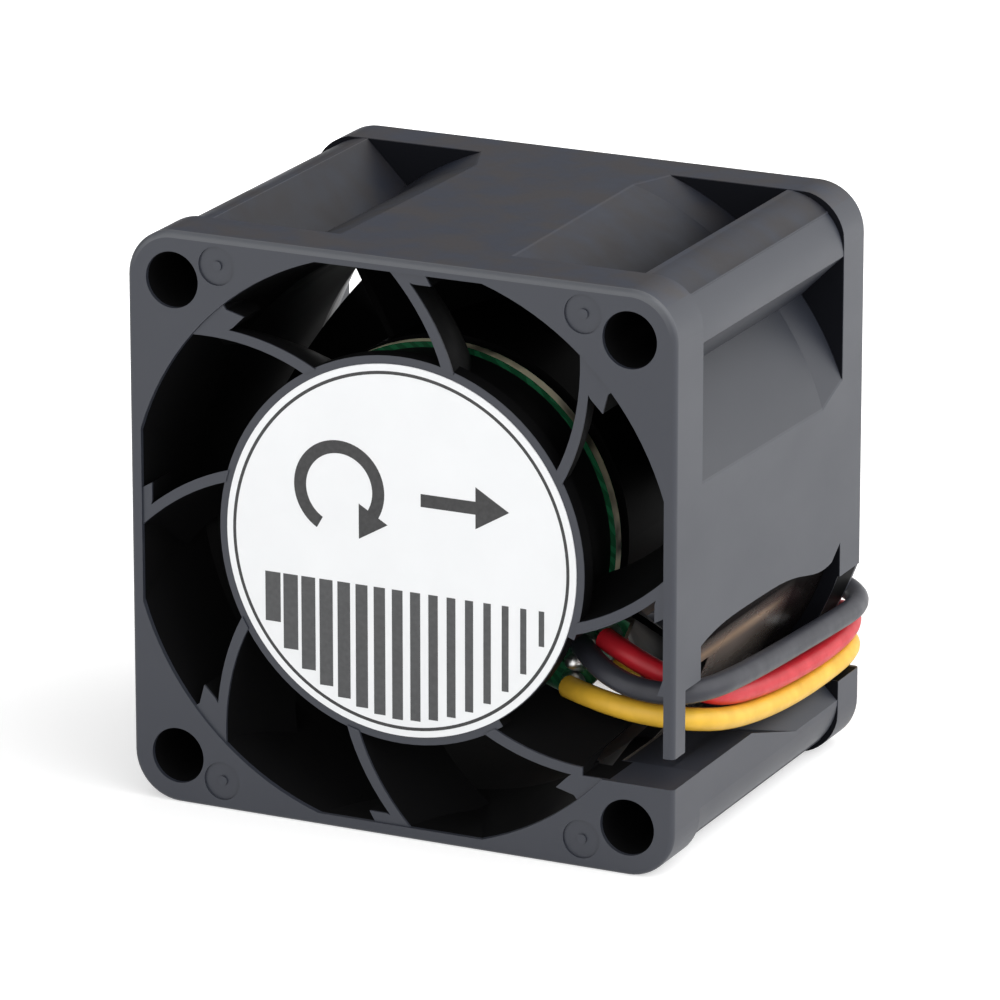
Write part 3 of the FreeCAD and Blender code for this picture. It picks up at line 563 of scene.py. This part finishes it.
def coat(material, *names):
    """Give solids that stay as they are their finish."""
    for name in names:
        mesh = NODES[name].data
        mesh.materials.clear()
        mesh.materials.append(material)


def placed(name, data):
    """New object in the scene."""
    thing = bpy.data.objects.new(name, data)
    bpy.context.scene.collection.objects.link(thing)
    return thing


def placed_shape(shape, name, material):
    """New object from a bmesh, with its material."""
    mesh = bpy.data.meshes.new(name)
    shape.to_mesh(mesh)
    shape.free()
    mesh.materials.append(material)
    return placed(name, mesh)


def piece_from(shape, name, material):
    """Finished piece of the housing from a bmesh."""
    piece = placed_shape(shape, name, material)
    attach(piece, BODY)
    return piece


def grown_verts(grown):
    """Points of the faces that an extrusion made."""
    return [item for item in grown["geom"] if isinstance(item, bmesh.types.BMVert)]


def rounded_edges(shape, edges, width, segments=2):
    bmesh.ops.bevel(shape, geom=edges, offset=width, offset_type="OFFSET", affect="EDGES",
                    segments=segments, profile=0.5, material=-1)


def close_holes(shape):
    """Fill open ends and turn every face outwards."""
    bmesh.ops.holes_fill(shape, edges=[edge for edge in shape.edges if edge.is_boundary], sides=0)
    bmesh.ops.recalc_face_normals(shape, faces=shape.faces)


class FAN_OT_frame(bpy.types.Operator):
    """Give the frame its textured charcoal plastic"""
    bl_idname = "fan.dress_frame"
    bl_label = "Dress Frame"

    def execute(self, context):
        coat(FramePlastic(context.scene.fan_plastic).paint(), "frame")
        return {"FINISHED"}


class FAN_OT_impeller(bpy.types.Operator):
    """Give the impeller its black plastic"""
    bl_idname = "fan.dress_impeller"
    bl_label = "Dress Impeller"

    def execute(self, context):
        coat(impeller_plastic(context.scene.fan_plastic), "impeller")
        return {"FINISHED"}


def label_film(look):
    """White film, slightly uneven."""
    finish = Finish("label_film", look.film_color, roughness=0.38)
    cloud = finish.noise(size=0.004, detail=3.0)
    cooler = tinted(look.film_color, 0.97)
    finish.link(finish.mix(finish.spread(cloud, 0.0, 1.0), look.film_color, cooler), "Base Color")
    finish.link(finish.spread(cloud, 0.34, 0.44), "Roughness")
    finish.bump(finish.noise(size=0.0007), depth=0.000004, strength=0.4)
    return finish.material


def ink(name, base):
    """Print, a little thinner in places."""
    finish = Finish(name, base, roughness=0.45)
    thin = finish.noise(size=0.0003, detail=3.0)
    lighter = tuple(part + 0.02 for part in base)
    finish.link(finish.mix(finish.spread(thin, 0.0, 1.0), base, lighter), "Base Color")
    finish.link(finish.spread(thin, 0.40, 0.52), "Roughness")
    return finish.material


def raised(shape, look):
    """Give flat print its thickness and lay it on the film."""
    sunk = 0.4 * look.ink_height
    bmesh.ops.recalc_face_normals(shape, faces=shape.faces)
    moved = grown_verts(bmesh.ops.extrude_face_region(shape, geom=shape.faces[:]))
    bmesh.ops.translate(shape, verts=moved, vec=(0.0, -look.ink_height - sunk, 0.0))
    bmesh.ops.translate(shape, verts=shape.verts, vec=(0.0, LABEL_FRONT + sunk, AXIS_HEIGHT))
    bmesh.ops.recalc_face_normals(shape, faces=shape.faces)


def flat_ring(shape, inner, outer, centre=(0.0, 0.0), sweep=360.0, first=0.0, steps=96):
    """Ring, or part of one, in the plane of the label."""
    side = Vector((math.cos(math.radians(first)), 0.0, math.sin(math.radians(first))))
    middle = Vector((centre[0], 0.0, centre[1]))
    ends = [shape.verts.new(middle + side * radius) for radius in (inner, outer)]
    edge = shape.edges.new(ends)
    bmesh.ops.spin(shape, geom=ends + [edge], cent=middle, axis=(0.0, -1.0, 0.0),
                   angle=math.radians(sweep), steps=steps, use_merge=sweep >= 360.0)


def flat_outline(shape, corners):
    """Flat face with those (across, up) corners in the plane of the label."""
    shape.faces.new([shape.verts.new((x, 0.0, z)) for x, z in corners])


def flat_box(shape, left, right, low, high):
    """Upright rectangle in the plane of the label."""
    flat_outline(shape, [(left, low), (right, low), (right, high), (left, high)])


def turning_arrow(shape):
    """Three quarters of a ring that ends in an arrowhead."""
    middle = Vector((-0.0040, 0.0034))
    inner = 0.0022
    outer = 0.0030
    tip = -30.0
    half_head = 0.0011
    head_length = 0.0019
    flat_ring(shape, inner, outer, middle, sweep=270.0, first=tip, steps=54)
    across = Vector((math.cos(math.radians(tip)), math.sin(math.radians(tip))))
    along = Vector((across.y, -across.x))
    root = middle + across * (inner + outer) / 2
    flat_outline(shape, [root - across * half_head, root + across * half_head, root + along * head_length])


def air_arrow(shape):
    """Straight arrow with its shaft and head."""
    tail = 0.0014
    neck = 0.0050
    tip = 0.0072
    level = 0.0034
    half_shaft = 0.0004
    half_head = 0.0013
    flat_box(shape, tail, neck, level - half_shaft, level + half_shaft)
    flat_outline(shape, [(neck, level - half_head), (tip, level), (neck, level + half_head)])


class FAN_OT_label(bpy.types.Operator):
    """Make the round label with its plain printed marks"""
    bl_idname = "fan.make_label"
    bl_label = "Make Label"

    def execute(self, context):
        look = context.scene.fan_label
        self.make_film(look)
        self.make_marks(look)
        self.make_field(look)
        return {"FINISHED"}

    def make_film(self, look):
        """Disc of film with a softly cut rim."""
        shape = bmesh.new()
        bmesh.ops.create_circle(shape, cap_ends=True, segments=128, radius=LABEL_RADIUS)
        thick = LABEL_BACK - LABEL_FRONT
        soft = 0.3 * thick
        top = grown_verts(bmesh.ops.extrude_face_region(shape, geom=shape.faces[:]))
        bmesh.ops.translate(shape, verts=top, vec=(0.0, 0.0, thick))
        rim = [edge for edge in shape.edges if all(vert in top for vert in edge.verts)]
        rounded_edges(shape, rim, soft)
        bmesh.ops.recalc_face_normals(shape, faces=shape.faces)
        place = Matrix.Translation((0.0, LABEL_BACK, AXIS_HEIGHT)) @ Matrix.Rotation(math.pi / 2, 4, "X")
        bmesh.ops.transform(shape, matrix=place, verts=shape.verts)
        film = piece_from(shape, "label", label_film(look))
        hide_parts("hub_label")

    def make_marks(self, look):
        """Rim line, an arrow for the turning sense and one for the air."""
        shape = bmesh.new()
        line = LABEL_RADIUS - look.rim_gap
        flat_ring(shape, line - look.rim_line, line, steps=144)
        turning_arrow(shape)
        air_arrow(shape)
        raised(shape, look)
        marks = piece_from(shape, "label_marks", ink("label_ink", look.ink_color))
        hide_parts("hub_label")

    def make_field(self, look):
        """Lower field of upright bars that thin out to one side."""
        margin = 0.06
        widest = 0.88
        thinning = 0.62
        shortest = 0.0006
        shape = bmesh.new()
        radius = LABEL_RADIUS - look.field_gap
        half = math.sqrt(radius ** 2 - look.field_top ** 2)
        pitch = 2 * half / look.bars
        for number in range(look.bars):
            left = -half + pitch * (number + margin)
            right = left + pitch * (widest - thinning * number / look.bars)
            floor = -math.sqrt(max(radius ** 2 - max(abs(left), abs(right)) ** 2, 0.0))
            if floor < look.field_top - shortest:
                flat_box(shape, left, right, floor, look.field_top)
        raised(shape, look)
        field = piece_from(shape, "label_field", ink("label_grey", look.grey_color))
        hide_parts("hub_label")


def lead_points(look, name, layer):
    """Route of a lead and then the turns of its coil, in metres."""
    points = [Vector(point) * MM for point in LEAD_ROUTES[name]]
    per_turn = math.pi * (look.coil_outer + look.coil_inner)
    turns = (look.length - look.tip_length - LEAD_ROUTE_LENGTHS[name] * MM) / per_turn
    height = look.layer_low + layer * look.layer_step
    first = math.radians(270.0)
    steps = round(turns * look.turn_points)
    for step in range(1, steps + 1):
        part = step / steps
        radius = look.coil_outer + (look.coil_inner - look.coil_outer) * part
        angle = first - math.tau * turns * part
        x = look.coil_x + radius * math.cos(angle)
        y = look.coil_y + radius * math.sin(angle)
        points.append(Vector((x, y, height)))
    return points


def smooth_cord(name, points, radius, material):
    """Round cord along a smooth open spline."""
    curve = bpy.data.curves.new(name, "CURVE")
    curve.dimensions = "3D"
    curve.bevel_depth = radius
    curve.bevel_resolution = 6
    curve.resolution_u = 6
    curve.use_fill_caps = True
    spline = curve.splines.new("NURBS")
    spline.points.add(len(points) - 1)
    for control, point in zip(spline.points, points):
        control.co = (*point, 1.0)
    spline.order_u = 3
    spline.use_endpoint_u = True
    curve.materials.append(material)
    cord = placed(name, curve)
    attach(cord, BODY)
    return cord


def tinned_tip(name, start, heading, look, material):
    """Stripped end: twisted strands, tinned into one, with a rounded end."""
    strands = 6
    strand_points = 6
    groove = 0.10
    layers = 10
    twist = Matrix.Rotation(math.radians(18.0), 3, "Z")
    taper = 0.6
    shape = bmesh.new()
    bmesh.ops.create_circle(shape, cap_ends=True, segments=strand_points * strands,
                            radius=look.tip_radius)
    for vert in shape.verts:
        angle = math.atan2(vert.co.y, vert.co.x)
        vert.co *= 1.0 - groove + groove * abs(math.cos(0.5 * strands * angle))
    step = look.tip_length / layers
    faces = shape.faces[:]
    for layer in range(layers):
        grown = bmesh.ops.extrude_face_region(shape, geom=faces)
        bmesh.ops.delete(shape, geom=faces, context="FACES_ONLY")
        top = grown_verts(grown)
        faces = [item for item in grown["geom"] if isinstance(item, bmesh.types.BMFace)]
        bmesh.ops.translate(shape, verts=top, vec=(0.0, 0.0, step))
        centre = Matrix.Translation((0.0, 0.0, -step * (layer + 1)))
        bmesh.ops.rotate(shape, verts=top, cent=(0.0, 0.0, 0.0), space=centre, matrix=twist)
        if layer == layers - 1:
            bmesh.ops.scale(shape, verts=top, vec=(taper, taper, 1.0))
    close_holes(shape)
    turn = heading.to_track_quat("Z", "Y").to_matrix().to_4x4()
    bmesh.ops.transform(shape, matrix=Matrix.Translation(start) @ turn, verts=shape.verts)
    for face in shape.faces:
        face.smooth = True
    return piece_from(shape, name, material)


def block(shape, size, place):
    """Cuboid of that size in a piece's shape, by its middle."""
    verts = bmesh.ops.create_cube(shape, size=1.0)["verts"]
    bmesh.ops.scale(shape, verts=verts, vec=size)
    bmesh.ops.translate(shape, verts=verts, vec=place)
    return verts


def cable_tie(look, material):
    """Strap round the coil, with its head and a short tail."""
    bend = 0.00055
    bend_segments = 5
    head_size = (0.0032, 0.0030, 0.0016)
    head_rise = 0.0005
    head_edge = 0.00025
    tail_size = (0.0022, 0.0034, look.tie_thick)
    tail_reach = 0.0028
    tail_rise = 0.0009
    low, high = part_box("lead_tie")
    high.y -= look.tie_snug
    size = high - low
    top = size.z / 2
    shape = bmesh.new()
    block(shape, size, (0.0, 0.0, 0.0))
    ends = [face for face in shape.faces if abs(face.normal.x) > 0.5]
    bmesh.ops.delete(shape, geom=ends, context="FACES_ONLY")
    along = [edge for edge in shape.edges if abs(edge.verts[0].co.x - edge.verts[1].co.x) > 1e-6]
    rounded_edges(shape, along, bend, bend_segments)
    bmesh.ops.recalc_face_normals(shape, faces=shape.faces)
    bmesh.ops.solidify(shape, geom=shape.faces[:], thickness=look.tie_thick)
    head = block(shape, head_size, (0.0, 0.0, top + head_rise))
    block(shape, tail_size, (0.0, tail_reach, top + tail_rise))
    rounded_edges(shape, list({edge for vert in head for edge in vert.link_edges}), head_edge)
    bmesh.ops.recalc_face_normals(shape, faces=shape.faces)
    bmesh.ops.translate(shape, verts=shape.verts, vec=(low + high) / 2)
    tie = piece_from(shape, "cable_tie", material)
    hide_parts("lead_tie")
    return tie


class FAN_OT_leads(bpy.types.Operator):
    """Lay the leads along their routes and wind the rest behind the fan"""
    bl_idname = "fan.make_leads"
    bl_label = "Make Leads"

    def execute(self, context):
        ahead = 0.8
        aside = 0.6
        look = context.scene.fan_leads
        tin = metal("tinned_copper", context.scene.fan_motor.tin_color, roughness=0.28)
        nylon = moulded_plastic("tie_nylon", *TIE_NYLON, grain=0.0004, roughness=0.40)
        tie = cable_tie(look, nylon)
        for layer, name in enumerate(LEAD_ROUTES):
            points = lead_points(look, name, layer)
            cord = smooth_cord("lead_" + name + "_cord", points, look.diameter / 2,
                               insulation(name + "_insulation", LEAD_COLORS[name]))
            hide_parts("lead_" + name, "lead_coil")
            heading = (points[-1] - points[-2]).normalized()
            inward = (Vector((look.coil_x, look.coil_y, points[-1].z)) - points[-1]).normalized()
            tip = tinned_tip("tip_" + name, points[-1], heading * ahead + inward * aside, look, tin)
            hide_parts("lead_tips")
        return {"FINISHED"}


def board_finish(look):
    """Green mask over faint tracks, with the bare laminate showing at the rim."""
    skin = 0.00004
    finish = Finish("board", look.mask_color, roughness=0.30)
    tracks = finish.wave(width=0.0005, distort=6.0)
    lines = finish.spread(tracks, 0.0, 1.0, start=0.45, end=0.55)
    mask = finish.mix(lines, look.mask_color, tinted(look.mask_color, 1.7))
    along = finish.axes()[1]
    rim = finish.between(along, BOARD_FRONT + skin, BOARD_BACK - skin)
    # Laminate darker in random patches along the rim.
    dark_patches = finish.spread(finish.noise(size=0.0035), 0.0, 1.0, start=0.42, end=0.60)
    edge = finish.mix(dark_patches, look.laminate_color, tinted(look.laminate_color, 0.08))
    finish.link(finish.mix(rim, mask, edge), "Base Color")
    finish.link(finish.spread(rim, 0.26, 0.60, start=0.0, end=1.0), "Roughness")
    finish.bump(tracks, depth=0.00002, strength=0.3)
    return finish.material


def solder_dome(shape, x, z):
    """Open joint whose solder climbs to the lead in a hollow curve."""
    verts = [shape.verts.new((x + radius, BOARD_FRONT - height, z)) for radius, height in SOLDER_PROFILE]
    edges = [shape.edges.new(pair) for pair in zip(verts, verts[1:])]
    bmesh.ops.spin(shape, geom=verts + edges, cent=(x, 0.0, z), axis=(0.0, 1.0, 0.0),
                   angle=math.tau, steps=24, use_merge=True)


def solder_joints(material):
    """One joint for each lead, and the spare one beside them, smooth but for their flat feet."""
    shape = bmesh.new()
    for point in [route[0] for route in LEAD_ROUTES.values()] + [SPARE_JOINT]:
        solder_dome(shape, point[0] * MM, point[2] * MM)
    bmesh.ops.remove_doubles(shape, verts=shape.verts, dist=1e-7)
    close_holes(shape)
    for face in shape.faces:
        face.smooth = len(face.verts) < 5
    joints = piece_from(shape, "solder", material)
    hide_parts("solder_joints")


class FAN_OT_board(bpy.types.Operator):
    """Finish the circuit board, its components and the solder joints"""
    bl_idname = "fan.dress_board"
    bl_label = "Dress Board"

    def execute(self, context):
        look = context.scene.fan_motor
        coat(board_finish(look), "circuit_board")
        black = moulded_plastic("chip_epoxy", *CHIP_EPOXY, grain=0.0002, roughness=0.45)
        coat(black, "driver_chip", "hall_sensor", "resistors")
        coat(moulded_plastic("fired_tan", *FIRED_TAN, grain=0.0003, roughness=0.40), "capacitor")
        solder_joints(metal("solder_tin", look.tin_color, roughness=0.34))
        return {"FINISHED"}


class FAN_OT_motor(bpy.types.Operator):
    """Finish the stator, the magnet, the yoke and the shaft"""
    bl_idname = "fan.dress_motor"
    bl_label = "Dress Motor"

    def execute(self, context):
        look = context.scene.fan_motor
        steel = look.steel_color
        darker = tinted(steel, 0.55)
        coat(metal("core_laminations", darker, 0.42, STACKED, lines=0.0003), "stator_core")
        coat(metal("drawn_steel", steel, 0.36, DRAWN), "rotor_yoke")
        coat(metal("ground_shaft", steel, 0.20, TURNED), "shaft")
        coat(metal("spring_strip", darker, 0.30), "retaining_ring", "preload_spring")
        coat(metal("turned_brass", look.brass_color, 0.30, TURNED), "bearing_tube", "rotor_bush")
        nylon = moulded_plastic("natural_nylon", look.nylon_color, tinted(look.nylon_color, 1.08),
                                grain=0.0004, roughness=0.48)
        coat(nylon, "front_insulator", "rear_insulator")
        coat(moulded_plastic("sintered_ferrite", *FERRITE, grain=0.00025, roughness=0.60), "magnet_ring")
        coat(self.winding(look), "stator_coils")
        return {"FINISHED"}

    def winding(self, look):
        """Enamelled wire laid in close turns."""
        finish = Finish("winding_wire", look.copper_color, roughness=0.30, metallic=0.6)
        turns = finish.wave(width=0.00022, distort=0.4)
        wire = finish.spread(turns, 0.0, 1.0, start=0.1, end=0.6)
        finish.link(finish.mix(wire, tinted(look.copper_color, 0.45), look.copper_color), "Base Color")
        finish.bump(turns, depth=0.00008, strength=0.8)
        return finish.material


class FAN_OT_bearings(bpy.types.Operator):
    """Finish the pieces of the two ball bearings"""
    bl_idname = "fan.dress_bearings"
    bl_label = "Dress Bearings"

    def execute(self, context):
        steel = context.scene.fan_motor.steel_color
        race = metal("bearing_steel", steel, 0.18, TURNED)
        shield = metal("pressed_shield", tinted(steel, 0.8), 0.34)
        cage = metal("pressed_cage", tinted(steel, 0.7), 0.38)
        for end in ("front_bearing_", "rear_bearing_"):
            coat(race, end + "outer_ring", end + "inner_ring", end + "balls")
            coat(shield, end + "shields")
            coat(cage, end + "cage")
        return {"FINISHED"}


class FAN_OT_stage(bpy.types.Operator):
    """Set the floor, the lights, the world and the camera"""
    bl_idname = "fan.set_stage"
    bl_label = "Set Stage"

    def execute(self, context):
        look = context.scene.fan_stage
        context.scene.view_settings.view_transform = "Standard"
        self.make_floor(look)
        self.make_world(context.scene, look)
        self.make_lamp("key", place=(0.46, 0.06, 0.34), size=0.80, energy=2.2)
        self.make_lamp("fill", place=(-0.20, -0.55, 0.26), size=0.60, energy=1.5)
        self.make_camera(context.scene, look)
        return {"FINISHED"}

    def make_floor(self, look):
        """Pale floor that takes the fan's shadow and is white where the camera sees it far away."""
        finish = Finish("floor_white", look.floor_color, roughness=0.9)
        finish.set("Specular IOR Level", 0.0)
        finish.set("Emission Color", (1.0, 1.0, 1.0, 1.0))
        rays = finish.rays("Is Camera Ray", "Is Glossy Ray", "Is Transmission Ray")
        away = finish.nodes.new("ShaderNodeVectorMath")
        away.operation = "LENGTH"
        finish.links.new(finish.place, away.inputs[0])
        glow = finish.spread(away.outputs["Value"], look.near_glow, look.far_glow,
                             start=look.glow_start, end=look.glow_end)
        finish.link(finish.both(rays, glow), "Emission Strength")
        shape = bmesh.new()
        bmesh.ops.create_grid(shape, x_segments=1, y_segments=1, size=2.0)
        floor = placed_shape(shape, "floor", finish.material)

    def make_world(self, scene, look):
        """White room, brighter on the right, and plain white where the camera sees it."""
        side = 0.45
        world = bpy.data.worlds.new("studio")
        world.use_nodes = True
        scene.world = world
        tree = Graph(world.node_tree, "Generated")
        sideways = tree.axes()[0]
        room = tree.spread(sideways, look.dark_side, look.bright_side, start=-side, end=side)
        straight = tree.rays("Is Camera Ray", "Is Transmission Ray")
        background = tree.nodes["Background"]
        background.inputs["Color"].default_value = (1.0, 1.0, 1.0, 1.0)
        tree.feed(background.inputs["Strength"], tree.choose(straight, room, 1.0))

    def make_lamp(self, name, place, size, energy):
        """Soft square lamp that faces the middle of the fan."""
        light = bpy.data.lights.new(name, "AREA")
        light.size = size
        light.energy = energy
        lamp = placed(name, light)
        lamp.location = place
        aim = Vector((0.0, 0.0, AXIS_HEIGHT)) - Vector(place)
        lamp.rotation_euler = aim.to_track_quat("-Z", "Y").to_euler()

    def make_camera(self, scene, look):
        """Camera at the photograph's viewing angle."""
        flat = math.cos(look.elevation)
        sideways = math.sin(look.azimuth) * flat
        forwards = -math.cos(look.azimuth) * flat
        back = Vector((sideways, forwards, math.sin(look.elevation)))
        data = bpy.data.cameras.new("camera")
        data.sensor_width = 36.0
        data.lens = look.lens
        data.clip_start = 0.01
        camera = placed("camera", data)
        camera.location = Vector(look.target) + back * look.distance
        camera.rotation_euler = (-back).to_track_quat("-Z", "Y").to_euler()
        scene.camera = camera


OPERATORS = (FAN_OT_stage, FAN_OT_leads, FAN_OT_frame, FAN_OT_impeller, FAN_OT_label, FAN_OT_board,
             FAN_OT_motor, FAN_OT_bearings)


class FAN_PT_panel(bpy.types.Panel):
    """Lists what dresses the fan, in order"""
    bl_idname = "FAN_PT_panel"
    bl_label = "Cooling Fan"
    bl_space_type = "VIEW_3D"
    bl_region_type = "UI"
    bl_category = "Fan"

    def draw(self, context):
        for operator in OPERATORS:
            self.layout.operator(operator.bl_idname)


def register():
    for attribute, group in SETTINGS.items():
        bpy.utils.register_class(group)
        setattr(bpy.types.Scene, attribute, bpy.props.PointerProperty(type=group))
    for operator in OPERATORS:
        bpy.utils.register_class(operator)
    bpy.utils.register_class(FAN_PT_panel)


def unregister():
    bpy.utils.unregister_class(FAN_PT_panel)
    for operator in reversed(OPERATORS):
        bpy.utils.unregister_class(operator)
    for attribute, group in SETTINGS.items():
        delattr(bpy.types.Scene, attribute)
        bpy.utils.unregister_class(group)


def main():
    register()
    bpy.ops.fan.set_stage()
    bpy.ops.fan.make_leads()
    bpy.ops.fan.dress_frame()
    bpy.ops.fan.dress_impeller()
    bpy.ops.fan.make_label()
    bpy.ops.fan.dress_board()
    bpy.ops.fan.dress_motor()
    bpy.ops.fan.dress_bearings()


if __name__ == "__main__":
    main()
